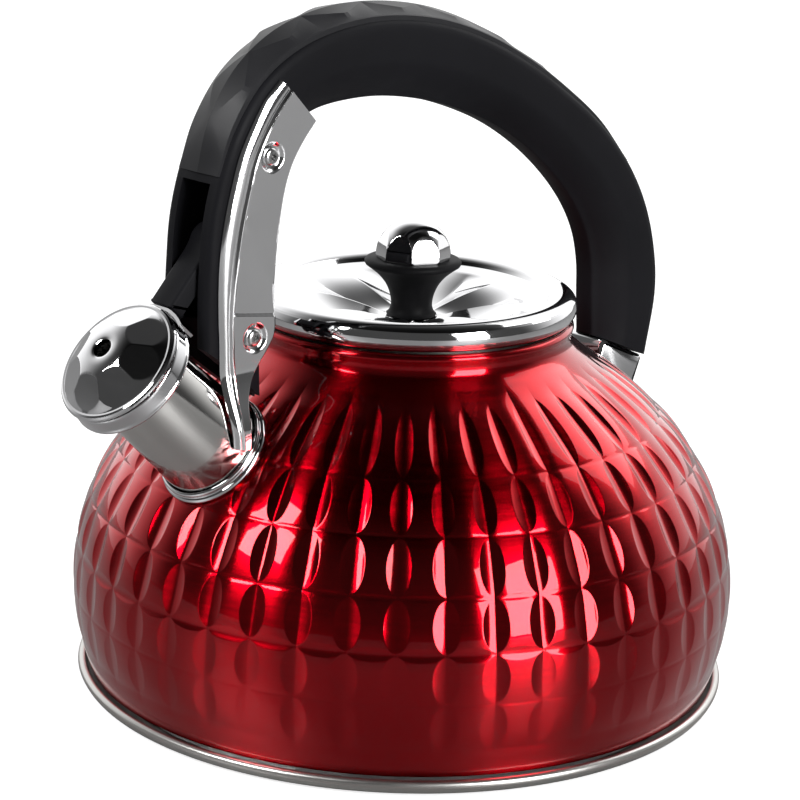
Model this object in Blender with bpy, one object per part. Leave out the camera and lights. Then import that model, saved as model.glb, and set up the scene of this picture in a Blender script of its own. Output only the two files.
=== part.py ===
"""Stovetop whistling kettle: pressed body, lift-off lid, fixed arch handle and a spout cap on a lever.

Metres, +Z up. The origin is on the body's axis, on the plane that the base stands on.
The spout points to -X, and the handle's arch lies in the XZ plane.
"""

import math

import bmesh
import bpy
from mathutils import Matrix, Vector

MM = 0.001
GAP = 0.3                       # clearance between pieces that touch, in mm like every size below
WALL = 0.9                      # pressed steel sheet

# Body and base.
BASE_R = 108.0                  # brushed rim, the widest part of the base
BASE_RIM_H = 5.6
BODY_OUTLINE = [                # outer side, from the base up to the start of the neck (radius, height)
    (104.7, 5.9), (106.6, 13.0), (108.6, 22.0), (109.5, 32.0), (108.9, 43.0), (106.8, 54.0),
    (102.9, 65.0), (97.2, 75.6), (88.9, 87.0), (78.1, 97.2), (67.5, 105.3), (59.0, 111.0), (54.4, 114.6),
]
NECK_R = 50.0                   # clear radius of the mouth
LIP_TOP = 122.9

# Spout: its own axis, square to the shoulder.
SPOUT_X = -84.8
SPOUT_Z = 93.2
SPOUT_RISE = 42.4               # degrees above level
TUBE_LENGTH = 44.0
TUBE_FOOT_R = 16.75
TUBE_MOUTH_R = 14.6
TUBE_SINK = 4.2                 # how far the tube reaches into the body
SHELL_HOLE_R = 17.1
CAP_FOOT = 42.6                 # stations along the spout axis
CAP_RIM = 49.2
CAP_TIP = 57.7
CAP_R = 20.6
CAP_HOLE_R = 3.1
SADDLE_IN = 20.9
SADDLE_OUT = 21.9
SADDLE_LOW = 41.2
SADDLE_HIGH = 47.4
SADDLE_DEGREES = 34.0           # each way from the lever's plane
SADDLE_STEPS = 5
SADDLE_CLEAR_R = 22.2           # hollow in the arm's end that the saddle sits in
RIVET_STATION = 44.8
RIVET_TAIL = 17.9               # reach of its inner end

# Lever that carries the cap. Its pivot lies in the plane of the cap's foot.
PIVOT_REACH = 47.5              # from the spout axis, square to it
PIN_R = 1.5
LEVER_HALF = 5.0
HUB_R = 7.0
HUB_POCKET_R = 5.2              # room for the spring in one side of the hub
HUB_POCKET_Y = 1.9              # its floor
HUB_ARC = (118, 20)             # degrees, where the hub's outline leaves the arm and meets the trigger
HUB_STEPS = 6
ARM_LOW = 41.6                  # stations of the arm's two long faces
ARM_HIGH = 48.3
TRIGGER_OUTLINE = [             # finger paddle behind the leg (x, z), from the hub round and back
    (-77.6, 153.0), (-71.0, 152.0), (-67.0, 150.2), (-65.4, 145.0), (-64.9, 137.0), (-65.2, 130.6),
    (-66.8, 129.2), (-68.8, 130.8), (-69.6, 138.0), (-71.8, 143.8), (-77.0, 147.0), (-82.0, 149.0),
]

# Lid and knob.
LID_R = 54.0
SKIRT_R = 48.4
KNOB_R = 12.5
COLLAR_R = 15.7
LID_SCREW_R = 2.0

# Handle: each station is (outer x, outer z, inner x, inner z, half width of the inner face).
HANDLE_HALF = 10.8
HANDLE_STATIONS = [
    (-96.2, 128.0, -72.6, 109.5, 8.6), (-96.4, 141.0, -73.6, 132.0, 8.6), (-96.0, 152.0, -74.0, 149.0, 8.6),
    (-94.8, 166.0, -72.6, 166.0, 8.6), (-91.2, 180.0, -69.6, 178.0, 8.0), (-85.0, 194.0, -65.5, 186.5, 7.0),
    (-74.5, 207.0, -57.6, 192.4, 6.0), (-60.0, 215.6, -48.0, 195.6, 5.0), (-42.0, 220.3, -35.0, 196.9, 4.4),
    (-22.0, 221.4, -20.0, 196.6, 4.0), (0.0, 218.6, -3.0, 194.0, 4.0), (21.0, 212.2, 14.0, 189.4, 4.0),
    (41.4, 202.8, 31.3, 182.6, 4.0), (60.8, 191.4, 47.3, 173.5, 4.0), (78.2, 179.3, 61.5, 162.7, 4.0),
    (93.3, 164.7, 72.8, 151.2, 4.0), (104.0, 149.0, 80.2, 139.7, 4.0), (110.4, 132.0, 83.7, 128.2, 4.0),
    (112.6, 115.0, 84.7, 116.5, 4.0), (108.6, 92.9, 86.0, 102.5, 4.0),
]
CROWN_FIRST = 4                 # first handle station that the crown insert covers
CROWN_PROUD = [0.8, 2.8, 3.6, 4.6, 5.0, 4.6, 4.4, 4.2, 3.8, 3.2, 2.2, 1.0]      # height at each from there
CROWN_HALF = 9.2
CROWN_TOP_HALF = 5.06           # half width of its flat top

# Cheeks: die-cast side plates of the front leg.
CHEEK_IN = 11.1                 # inner face beside the leg
CHEEK_SPLAY = 17.1              # inner face beside the spout tube
CHEEK_T = 2.5
SPLAY_TOP = 122.0
SPLAY_FOOT = 101.0
CHEEK_BACK = [                  # (x, z) from the tip down the rear edge to the foot
    (-74.0, 208.0), (-60.6, 193.6), (-65.5, 188.3), (-68.7, 182.5), (-71.4, 176.7), (-72.6, 170.7),
    (-73.6, 162.0), (-74.3, 150.0), (-73.5, 139.5), (-72.5, 130.0), (-74.0, 127.0), (-84.0, 115.0),
    (-85.6, 107.0), (-87.0, 95.8),
]
CHEEK_FRONT = [                 # and up the front edge
    (-92.6, 96.8), (-93.4, 106.0), (-93.6, 116.0), (-94.5, 127.0), (-95.2, 137.5), (-95.2, 150.0),
    (-94.8, 162.0), (-93.4, 173.5), (-90.3, 184.0), (-85.8, 193.6), (-80.2, 201.8),
]
CHEEK_EDGE_T = 0.75             # thickness of the plate at its front edge
CHEEK_CHAMFER = 2.0             # how far the front edge falls back across the rest of the thickness
CHEEK_RUNGS = (99.5, 102.0, 104.5, 108.0, 111.5, 114.0, 117.5, 120.0, 122.5)   # heights where it bends
CHEEK_SCREWS = {"upper": (-78.7, 184.4), "lower": (-83.4, 129.5)}
SCREW_HEAD_R = 2.9
SCREW_RECESS_R = 3.8
SCREW_RECESS_DEPTH = 1.3
SCREW_SHANK_R = 1.4
BRACKET_SCREW_HEAD_R = 2.7
SLOT_HALF = 6.2                 # channel in the front leg that the lever swings in
SLOT_TOP = 177.5
SLOT_BACK = -77.0
WINDOW_HALF = 5.4               # opening in the leg's inner face that the trigger swings through
WINDOW_LOW = 121.0
WINDOW_HIGH = 155.0

# Rear foot.
FERRULE_HALF = 9.2
FERRULE_OUTLINE = [(86.4, 101.9), (108.2, 92.6), (104.2, 84.6), (99.4, 73.2), (92.3, 84.0), (83.7, 93.2)]
REAR_FOOT = (92.9, 84.6)
REAR_LEAN = 17.2                # degrees that the rear leg leans outward
TONGUE_HALF = 2.5               # half width of the rear bracket's tongue
REAR_SCREW_RISE = 26.0          # above the foot, along the leg
FRONT_BRACKET_HALF = 5.6
FRONT_SCREW_Z = 114.5
SHARP_DEGREES = 35

BLACK = ((0.018, 0.018, 0.021), 0.55, 0.0)
CHROME = ((0.83, 0.83, 0.84), 0.08, 1.0)
STEEL = ((0.62, 0.61, 0.59), 0.3, 1.0)
ALUMINIUM = ((0.72, 0.72, 0.73), 0.45, 1.0)
RED = ((0.42, 0.004, 0.012), 0.16, 0.75)
SILICONE = ((0.22, 0.22, 0.23), 0.6, 0.0)


def clear_scene():
    for obj in list(bpy.data.objects):
        bpy.data.objects.remove(obj, do_unlink=True)


def material(name, finish):
    colour, roughness, metallic = finish
    made = bpy.data.materials.new(name)
    made.use_nodes = True
    shader = made.node_tree.nodes["Principled BSDF"]
    shader.inputs["Base Color"].default_value = (*colour, 1.0)
    shader.inputs["Roughness"].default_value = roughness
    shader.inputs["Metallic"].default_value = metallic
    return made


def mm(*values):
    return Vector(values) * MM


def finish_object(name, bm, finish, parent=None, smooth=True):
    """Turns bm, in millimetres in its parent's frame, into an object of that name."""
    bmesh.ops.remove_doubles(bm, verts=bm.verts, dist=0.001)
    bmesh.ops.recalc_face_normals(bm, faces=bm.faces)
    bmesh.ops.scale(bm, vec=(MM, MM, MM), verts=bm.verts)
    mesh = bpy.data.meshes.new(name)
    bm.to_mesh(mesh)
    bm.free()
    if smooth:
        mesh.shade_smooth()
        mesh.set_sharp_from_angle(angle=math.radians(SHARP_DEGREES))
    obj = bpy.data.objects.new(name, mesh)
    bpy.context.collection.objects.link(obj)
    if finish:
        mesh.materials.append(material(name, finish))
    else:
        obj.hide_render = True
        obj.display_type = "WIRE"
    obj.parent = parent
    return obj


def empty(name, location, tilt=0.0):
    obj = bpy.data.objects.new(name, None)
    obj.empty_display_size = 10 * MM
    obj.location = location
    obj.rotation_euler = (0.0, tilt, 0.0)
    bpy.context.collection.objects.link(obj)
    return obj


def turned(name, outline, finish, parent=None, steps=64, offset=(0.0, 0.0, 0.0), smooth=True):
    """A closed (radius, height) outline turned about the parent's Z axis."""
    bm = bmesh.new()
    points = [bm.verts.new((radius, 0.0, height)) for radius, height in outline]
    on_axis = outline[0][0] == 0.0 and outline[-1][0] == 0.0
    pairs = list(zip(points, points[1:]))
    if not on_axis:
        pairs.append((points[-1], points[0]))
    edges = [bm.edges.new(pair) for pair in pairs]
    bmesh.ops.spin(
        bm, geom=points + edges, axis=(0, 0, 1), cent=(0, 0, 0), angle=math.tau, steps=steps, use_merge=True
    )
    bmesh.ops.remove_doubles(bm, verts=bm.verts, dist=0.001)
    bmesh.ops.translate(bm, vec=offset, verts=bm.verts)
    return finish_object(name, bm, finish, parent, smooth)


def plate(name, outline, half, finish, parent=None, bevel=0.0, offset=(0.0, 0.0, 0.0)):
    """An (x, z) outline with its thickness shared equally on both sides of the XZ plane."""
    bm = bmesh.new()
    face = bm.faces.new([bm.verts.new((x, -half, z)) for x, z in outline])
    grown = bmesh.ops.extrude_face_region(bm, geom=[face])
    moved = [item for item in grown["geom"] if isinstance(item, bmesh.types.BMVert)]
    bmesh.ops.translate(bm, vec=(0, 2 * half, 0), verts=moved)
    bmesh.ops.translate(bm, vec=offset, verts=bm.verts)
    obj = finish_object(name, bm, finish, parent)
    if bevel:
        add_bevel(obj, bevel)
    return obj


def add_bevel(obj, width, segments=2):
    modifier = obj.modifiers.new("Bevel", "BEVEL")
    modifier.width = width * MM
    modifier.segments = segments
    modifier.limit_method = "ANGLE"
    modifier.angle_limit = math.radians(40)


def cut(obj, cutter):
    modifier = obj.modifiers.new("Cut " + cutter.name, "BOOLEAN")
    modifier.operation = "DIFFERENCE"
    modifier.solver = "EXACT"
    modifier.object = cutter


def box_cutter(name, low, high, parent=None):
    bm = bmesh.new()
    bmesh.ops.create_cube(bm, size=1.0)
    size = [b - a for a, b in zip(low, high)]
    middle = [(a + b) / 2 for a, b in zip(low, high)]
    bmesh.ops.scale(bm, vec=size, verts=bm.verts)
    bmesh.ops.translate(bm, vec=middle, verts=bm.verts)
    return finish_object(name, bm, None, parent)


def cylinder(name, radius, start, end, finish=None, parent=None, steps=24):
    """A round bar from start to end."""
    bm = bmesh.new()
    along = Vector(end) - Vector(start)
    place = Matrix.Translation((Vector(start) + Vector(end)) / 2)
    turn = along.to_track_quat("Z", "Y").to_matrix().to_4x4()
    bmesh.ops.create_cone(
        bm, cap_ends=True, segments=steps, radius1=radius, radius2=radius, depth=along.length,
        matrix=place @ turn,
    )
    return finish_object(name, bm, finish, parent)


def offset_outline(points, distance):
    """The (r, z) points moved square to the line, to its left when distance is positive."""
    moved = []
    for index, (r, z) in enumerate(points):
        before = points[max(index - 1, 0)]
        after = points[min(index + 1, len(points) - 1)]
        run = Vector((after[0] - before[0], after[1] - before[1])).normalized()
        moved.append((r - run.y * distance, z + run.x * distance))
    return moved


def build_body(spout):
    inner = offset_outline(BODY_OUTLINE, WALL)
    lip = [
        (52.3, 117.2), (51.7, 118.9), (52.9, 120.2), (53.2, 121.5), (52.4, 122.6), (51.2, LIP_TOP),
        (NECK_R, 122.2), (NECK_R, 119.0), (50.8, 116.6),
    ]
    shell = turned("body_shell", BODY_OUTLINE + lip + inner[::-1], RED, steps=48)
    hole = cylinder("spout_hole", SHELL_HOLE_R, (0, 0, -12), (0, 0, 12), parent=spout, steps=32)
    cut(shell, hole)
    turned("base_capsule", [
        (0.0, 0.0), (103.4, 0.0), (106.8, 1.6), (BASE_R, 3.7), (107.6, 4.9), (106.6, BASE_RIM_H),
        (105.6, 5.2), (104.8, 2.4), (102.4, 0.9), (0.0, 0.9),
    ], STEEL, steps=48)
    turned("base_heat_disc", [(0.0, 1.2), (98.6, 1.2), (98.6, 4.6), (0.0, 4.6)], ALUMINIUM, steps=40)
    turned("base_pan", [
        (0.0, 4.9), (101.0, 4.9), (103.2, 6.2), (103.5, 8.0), (102.7, 8.1), (102.2, 6.9), (100.6, 5.8),
        (0.0, 5.8),
    ], STEEL, steps=40)


def build_spout(spout):
    turned("spout_tube", [
        (TUBE_FOOT_R, -TUBE_SINK), (TUBE_FOOT_R, 0.0), (TUBE_MOUTH_R, TUBE_LENGTH),
        (TUBE_MOUTH_R - WALL, TUBE_LENGTH), (TUBE_FOOT_R - WALL, 0.0), (TUBE_FOOT_R - WALL, -TUBE_SINK),
    ], STEEL, spout, steps=32)
    turned("spout_base_ring", [
        (17.15, -1.9), (18.4, -2.1), (18.8, -1.2), (18.4, -0.2), (17.7, 0.2), (18.0, 0.9), (17.7, 1.7),
        (17.15, 1.8),
    ], CHROME, spout, steps=32)


def to_spout(x, z):
    """(x, z) in the spout's own frame: reach square to its axis, and station along it."""
    rise = math.radians(SPOUT_RISE)
    dx, dz = x - SPOUT_X, z - SPOUT_Z
    return dx * math.sin(rise) + dz * math.cos(rise), dz * math.sin(rise) - dx * math.cos(rise)


def from_spout(reach, station):
    rise = math.radians(SPOUT_RISE)
    x = SPOUT_X + reach * math.sin(rise) - station * math.cos(rise)
    return x, SPOUT_Z + reach * math.cos(rise) + station * math.sin(rise)


def build_cap(lever, offset):
    turned("cap_sleeve", [
        (CAP_R, CAP_FOOT), (CAP_R, 43.6), (20.2, CAP_RIM - 1.0), (19.1, CAP_RIM - 1.0), (19.4, 43.6),
        (15.4, 43.4), (15.4, CAP_FOOT),
    ], CHROME, lever, 32, offset)
    turned("cap_dome", [
        (CAP_HOLE_R, CAP_TIP), (9.4, 56.4), (14.2, 54.0), (17.6, 51.4), (19.6, 50.7), (20.4, 49.6),
        (20.0, 48.7), (19.2, 48.6), (17.0, 50.4), (13.8, 52.9), (9.0, 55.3), (CAP_HOLE_R, 56.6),
    ], CHROME, lever, 32, offset)
    turned("cap_seal", [
        (11.6, 44.3), (16.4, 44.3), (16.4, 45.9), (11.6, 45.9),
    ], SILICONE, lever, 32, offset)
    turned("whistle_plate_back", [
        (2.2, 46.2), (18.7, 46.2), (18.7, 46.8), (2.2, 46.8),
    ], STEEL, lever, 32, offset)
    turned("whistle_plate_front", [
        (1.8, 49.3), (7.0, 49.3), (8.6, 47.1), (12.0, 47.1), (12.0, 47.7), (9.0, 47.7), (7.4, 49.9),
        (1.8, 49.9),
    ], STEEL, lever, 24, offset)
    saddle = saddle_strip(lever, offset)
    hole = cylinder("rivet_hole", 1.1, (17.0, 0, RIVET_STATION), (28.6, 0, RIVET_STATION), None, lever, 16)
    hole.location = mm(*offset)
    rivet = turned("cap_rivet", [
        (0.0, 0.0), (1.0, 0.0), (1.2, 0.3), (1.2, 0.9), (0.8, 1.0), (0.8, 9.6), (0.0, 9.8),
    ], STEEL, lever, 16)
    rivet.location = mm(RIVET_TAIL + offset[0], 0, RIVET_STATION + offset[2])
    rivet.rotation_euler = (0.0, math.radians(90.0), 0.0)
    cut(bpy.data.objects["cap_sleeve"], hole)
    cut(saddle, hole)
    return hole


def saddle_strip(lever, offset):
    """A strip bent round the cap's sleeve, under the lever's arm."""
    spread = math.radians(SADDLE_DEGREES)
    angles = [spread * (step - SADDLE_STEPS) / SADDLE_STEPS for step in range(2 * SADDLE_STEPS + 1)]
    ring = [(SADDLE_OUT * math.cos(a), SADDLE_OUT * math.sin(a)) for a in angles]
    ring += [(SADDLE_IN * math.cos(a), SADDLE_IN * math.sin(a)) for a in reversed(angles)]
    bm = skin([[(x, y, station) for x, y in ring] for station in (SADDLE_LOW, SADDLE_HIGH)])
    bmesh.ops.translate(bm, vec=offset, verts=bm.verts)
    return finish_object("cap_saddle", bm, CHROME, lever)


def build_lever(lever, offset, rivet_hole):
    """Arm, hub and trigger in one moulding, drawn in the spout's frame."""
    outline = [(19.0, ARM_LOW), (19.0, ARM_HIGH), (PIVOT_REACH - 6.0, ARM_HIGH)]
    first, last = (math.radians(degrees) for degrees in HUB_ARC)
    for step in range(HUB_STEPS + 1):
        angle = first + (last - first) * step / HUB_STEPS
        outline.append((PIVOT_REACH + HUB_R * math.cos(angle), CAP_FOOT + HUB_R * math.sin(angle)))
    outline += [to_spout(x, z) for x, z in TRIGGER_OUTLINE]
    outline += [(PIVOT_REACH - 9.0, ARM_LOW)]
    body = plate("lever", outline, LEVER_HALF, BLACK, lever, bevel=0.7, offset=offset)
    hollow = cylinder("lever_saddle_cutter", SADDLE_CLEAR_R, (0, 0, 30), (0, 0, 60), None, lever, 64)
    hollow.location = mm(*offset)
    cut(body, hollow)
    cut(body, rivet_hole)
    cut(body, cylinder("hub_bore", PIN_R + GAP, (0, -9, 0), (0, 9, 0), None, lever))
    cut(body, cylinder("hub_pocket", HUB_POCKET_R, (0, HUB_POCKET_Y, 0), (0, 7, 0), None, lever, 32))


def build_spring(pivot):
    """A torsion spring round the pin, with its fixed leg behind the hub."""
    turns, steps, coil_r, first_y, last_y = 2.5, 12, 3.7, 2.7, 5.6
    curve = bpy.data.curves.new("return_spring", "CURVE")
    curve.dimensions = "3D"
    curve.bevel_depth = 0.42 * MM
    curve.bevel_resolution = 1
    curve.use_fill_caps = True
    path = []
    for step in range(int(turns * steps) + 1):
        angle = math.tau * step / steps + math.pi / 2
        y = first_y + (last_y - first_y) * step / (turns * steps)
        path.append((coil_r * math.cos(angle), y, coil_r * math.sin(angle)))
    path += [(4.6, last_y, coil_r * math.sin(angle)), (6.4, last_y, coil_r * math.sin(angle))]
    spline = curve.splines.new("POLY")
    spline.points.add(len(path) - 1)
    for point, place in zip(spline.points, path):
        point.co = (*(value * MM for value in place), 1.0)
    obj = bpy.data.objects.new("return_spring", curve)
    bpy.context.collection.objects.link(obj)
    curve.materials.append(material("return_spring", STEEL))
    obj.location = mm(pivot[0], 0, pivot[1])


def skin(rings):
    """A closed mesh through rings of points, with a face over each end."""
    bm = bmesh.new()
    loops = [[bm.verts.new(point) for point in ring] for ring in rings]
    for one, two in zip(loops, loops[1:]):
        for index in range(len(one)):
            after = (index + 1) % len(one)
            bm.faces.new((one[index], one[after], two[after], two[index]))
    bm.faces.new(loops[0][::-1])
    bm.faces.new(loops[-1])
    return bm


def handle_ring(station):
    """The leg's section: a narrow inner face, sloping flanks, straight sides and rounded outer edges."""
    out_x, out_z, in_x, in_z, inner_half = station
    flank = inner_half + (HANDLE_HALF - inner_half) * 0.22
    shoulder = HANDLE_HALF - 0.4
    side = [
        (0.0, inner_half), (0.06, flank), (0.42, shoulder), (0.5, HANDLE_HALF), (0.88, HANDLE_HALF),
        (0.97, HANDLE_HALF - 0.9), (1.0, HANDLE_HALF - 2.0),
    ]
    ring = [(u, -y) for u, y in side] + [(u, y) for u, y in reversed(side)]
    return [(in_x + (out_x - in_x) * u, y, in_z + (out_z - in_z) * u) for u, y in ring]


def crown_ring(station, proud):
    out_x, out_z, in_x, in_z, _ = station
    out = Vector((out_x - in_x, out_z - in_z)).normalized()
    section = [(GAP, CROWN_HALF), (GAP + 0.3 * proud, CROWN_HALF - 0.2), (GAP + proud, CROWN_TOP_HALF)]
    ring = [(rise, -y) for rise, y in section] + [(rise, y) for rise, y in reversed(section)]
    return [(out_x + out.x * rise, y, out_z + out.y * rise) for rise, y in ring]


def build_handle(pivot):
    frame = finish_object("handle_frame", skin([handle_ring(station) for station in HANDLE_STATIONS]), BLACK)
    covered = zip(HANDLE_STATIONS[CROWN_FIRST:], CROWN_PROUD)
    finish_object("handle_crown", skin([crown_ring(station, proud) for station, proud in covered]), BLACK)
    cut(frame, box_cutter("slot", (-110, -SLOT_HALF, 90), (SLOT_BACK, SLOT_HALF, SLOT_TOP)))
    cut(frame, box_cutter("window", (-90, -WINDOW_HALF, WINDOW_LOW), (-60, WINDOW_HALF, WINDOW_HIGH)))
    px, pz = pivot
    cut(frame, cylinder("pin_bore", PIN_R + GAP, (px, -14, pz), (px, 14, pz)))
    cylinder("pivot_pin", PIN_R, (px, 1 - HANDLE_HALF, pz), (px, HANDLE_HALF - 1, pz), STEEL)
    for end, (x, z) in CHEEK_SCREWS.items():
        cut(frame, cylinder("frame_bore_" + end, SCREW_SHANK_R + GAP, (x, -14, z), (x, 14, z)))
    bore = cylinder("front_screw_bore", SCREW_SHANK_R + GAP, (-80, 0, FRONT_SCREW_Z), (-65, 0, FRONT_SCREW_Z))
    cut(frame, bore)
    return frame, bore


def splay(point):
    """Bows a cheek outward beside the spout tube."""
    t = min(max((SPLAY_TOP - point.z) / (SPLAY_TOP - SPLAY_FOOT), 0.0), 1.0)
    out = (CHEEK_SPLAY - CHEEK_IN) * t * t * (3 - 2 * t)
    return Vector((point.x, point.y + math.copysign(out, point.y), point.z))


def cheek_mesh(name, side):
    """One side plate. Rungs from front to back every few mm of height let it bow."""
    inner = CHEEK_BACK + CHEEK_FRONT
    outer = CHEEK_BACK + [(x + CHEEK_CHAMFER, z) for x, z in CHEEK_FRONT]
    layers = [(inner, CHEEK_IN), (inner, CHEEK_IN + CHEEK_EDGE_T), (outer, CHEEK_IN + CHEEK_T)]
    bm = skin([[(x, side * y, z) for x, z in outline] for outline, y in layers])
    for height in CHEEK_RUNGS:
        bmesh.ops.bisect_plane(
            bm, geom=bm.verts[:] + bm.edges[:] + bm.faces[:], plane_co=(0, 0, height), plane_no=(0, 0, 1)
        )
    for vert in bm.verts:
        vert.co = splay(vert.co)
    return finish_object(name, bm, CHROME)


def build_cheeks():
    for label, side in (("near", -1), ("far", 1)):
        cheek = cheek_mesh("cheek_" + label, side)
        face_y = side * (CHEEK_IN + CHEEK_T)
        for end, (x, z) in CHEEK_SCREWS.items():
            tag = label + "_" + end
            bore = cylinder("cheek_bore_" + tag, SCREW_SHANK_R + GAP, (x, side * 9, z), (x, side * 16, z))
            floor_y = face_y - side * SCREW_RECESS_DEPTH
            recess = cylinder("recess_" + tag, SCREW_RECESS_R, (x, floor_y, z), (x, face_y + side * 2, z))
            cut(cheek, bore)
            cut(cheek, recess)
            screw = turned("cheek_screw_" + tag, [
                (0.0, 0.0), (SCREW_SHANK_R, 0.0), (SCREW_SHANK_R, 5.0), (SCREW_HEAD_R, 5.0),
                (SCREW_HEAD_R, 5.8), (2.0, 6.6), (0.0, 6.8),
            ], STEEL, steps=20)
            screw.location = mm(x, face_y - side * 6.0, z)
            screw.rotation_euler = (-side * math.radians(90.0), 0.0, 0.0)


def bracket_screw(name, length, place, turn, parent=None):
    """A pan-head screw of that shank length, turned about Y from upright."""
    screw = turned(name, [
        (0.0, 0.0), (SCREW_SHANK_R, 0.0), (SCREW_SHANK_R, length), (BRACKET_SCREW_HEAD_R, length),
        (BRACKET_SCREW_HEAD_R, length + 1.0), (1.9, length + 1.8), (0.0, length + 2.0),
    ], STEEL, parent, 20)
    screw.location = mm(*place)
    screw.rotation_euler = (0.0, math.radians(turn), 0.0)


def build_front_foot(screw_bore):
    """Bracket welded to the shoulder in front of the lid, and the screw that holds the leg to it."""
    bracket = plate("front_bracket", [
        (-71.9, 119.0), (-70.2, 119.0), (-70.2, 109.6), (-62.8, 112.6), (-62.0, 110.3), (-66.0, 107.5),
        (-69.4, 106.4), (-71.9, 108.8),
    ], FRONT_BRACKET_HALF, STEEL)
    cut(bracket, screw_bore)
    bracket_screw("front_screw", 6.6, (-76.5, 0, FRONT_SCREW_Z), 90.0)


def build_rear_foot(frame):
    """Bracket with a tongue up inside the leg, its screw, and the chrome ferrule round it."""
    rear = empty("rear_axis", mm(REAR_FOOT[0], 0, REAR_FOOT[1]), math.radians(REAR_LEAN))
    slot_half = TONGUE_HALF + 0.4
    rise = REAR_SCREW_RISE
    ferrule = plate("rear_ferrule", FERRULE_OUTLINE, FERRULE_HALF, CHROME)
    cut(ferrule, box_cutter("ferrule_slot", (-7.2, -slot_half, -25), (7.2, slot_half, 40), rear))
    cut(frame, box_cutter("tongue_slot", (-4.3, -slot_half, 0), (4.3, slot_half, 33), rear))
    bracket = plate("rear_bracket", [
        (-6.8, 6.4), (-6.8, 3.2), (-4.5, 1.8), (0.0, -1.6), (6.8, -6.6), (6.8, -3.0), (4.0, -0.6),
        (4.0, 32.0), (-4.0, 32.0), (-4.0, 6.4),
    ], TONGUE_HALF, STEEL, rear)
    bore = cylinder("rear_screw_bore", SCREW_SHANK_R + GAP, (-16, 0, rise), (3, 0, rise), None, rear)
    cut(frame, bore)
    cut(frame, cylinder("rear_screw_recess", 3.2, (-20, 0, rise), (-7, 0, rise), None, rear))
    cut(bracket, bore)
    bracket_screw("rear_screw", 9.8, (2.5, 0, rise), -90.0, rear)


def build_lid():
    turned("lid_cover", [
        (2.3, 122.3), (10.0, 122.3), (43.0, 129.8), (46.4, 131.4), (49.6, 132.2), (52.8, 131.0),
        (LID_R, 127.9), (53.2, 125.2), (51.2, 123.4), (50.8, 124.2), (53.1, 127.9), (52.1, 130.4),
        (49.6, 131.4), (43.2, 129.0), (10.0, 121.5), (2.3, 121.5),
    ], CHROME, steps=40)
    turned("lid_skirt", [
        (45.4, 128.2), (SKIRT_R, 128.2), (SKIRT_R, 119.0), (47.2, 119.0), (47.2, 116.4), (SKIRT_R, 116.4),
        (SKIRT_R, 113.4), (46.2, 113.4), (46.2, 127.4), (45.4, 127.4),
    ], STEEL, steps=40)
    turned("lid_seal", [(47.5, 116.8), (49.6, 116.8), (49.6, 118.6), (47.5, 118.6)], SILICONE, steps=40)
    turned("lid_washer", [(2.3, 120.2), (8.0, 120.2), (8.0, 121.2), (2.3, 121.2)], STEEL, steps=24)
    turned("knob_stem", [
        (2.3, 122.6), (8.0, 122.6), (8.2, 123.4), (7.0, 124.3), (6.2, 125.6), (6.3, 129.0), (7.4, 132.6),
        (9.6, 135.8), (12.6, 138.2), (COLLAR_R, 139.4), (COLLAR_R, 140.9), (14.4, 141.4), (2.3, 141.4),
    ], BLACK, steps=24)
    turned("knob_cap", [
        (2.5, 141.7), (KNOB_R - 0.6, 141.7), (KNOB_R, 143.4), (12.2, 146.6), (10.4, 150.4), (7.6, 152.8),
        (5.0, 153.6), (0.0, 153.8), (0.0, 150.6), (2.5, 150.6),
    ], CHROME, steps=24)
    turned("knob_screw", [
        (0.0, 118.2), (2.6, 118.4), (3.4, 119.2), (3.4, 119.9), (LID_SCREW_R, 119.9),
        (LID_SCREW_R, 149.6), (0.0, 150.0),
    ], STEEL, steps=24)


def main():
    clear_scene()
    tilt = -math.radians(90.0 - SPOUT_RISE)
    spout = empty("spout_axis", mm(SPOUT_X, 0, SPOUT_Z), tilt)
    pivot = from_spout(PIVOT_REACH, CAP_FOOT)
    lever = empty("lever_axis", mm(pivot[0], 0, pivot[1]), tilt)
    on_lever = (-PIVOT_REACH, 0.0, -CAP_FOOT)
    build_body(spout)
    build_spout(spout)
    rivet_hole = build_cap(lever, on_lever)
    build_lever(lever, on_lever, rivet_hole)
    build_spring(pivot)
    frame, front_screw_bore = build_handle(pivot)
    build_cheeks()
    build_front_foot(front_screw_bore)
    build_rear_foot(frame)
    build_lid()


main()
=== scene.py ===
"""Looks of the stovetop whistling kettle: embossed lacquered body, faceted chrome, soft black handle."""

import math

import bmesh
import bpy
import numpy as np
from mathutils import Matrix, Vector


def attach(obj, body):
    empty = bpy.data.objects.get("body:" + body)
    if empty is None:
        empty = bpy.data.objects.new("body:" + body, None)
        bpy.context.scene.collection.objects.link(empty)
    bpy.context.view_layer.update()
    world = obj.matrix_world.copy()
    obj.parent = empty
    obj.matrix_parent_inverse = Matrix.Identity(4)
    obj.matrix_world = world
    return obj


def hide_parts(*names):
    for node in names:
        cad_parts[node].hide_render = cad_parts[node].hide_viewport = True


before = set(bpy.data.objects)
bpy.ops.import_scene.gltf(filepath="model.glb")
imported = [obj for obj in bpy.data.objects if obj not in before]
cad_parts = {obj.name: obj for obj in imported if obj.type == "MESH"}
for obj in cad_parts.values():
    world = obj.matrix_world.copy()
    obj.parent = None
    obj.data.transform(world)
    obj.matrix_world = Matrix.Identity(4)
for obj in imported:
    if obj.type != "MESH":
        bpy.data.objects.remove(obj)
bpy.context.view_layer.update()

MM = 0.001
BODY = "kettle"
LEVER = "cap_lever"
LID = "lid"

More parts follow.
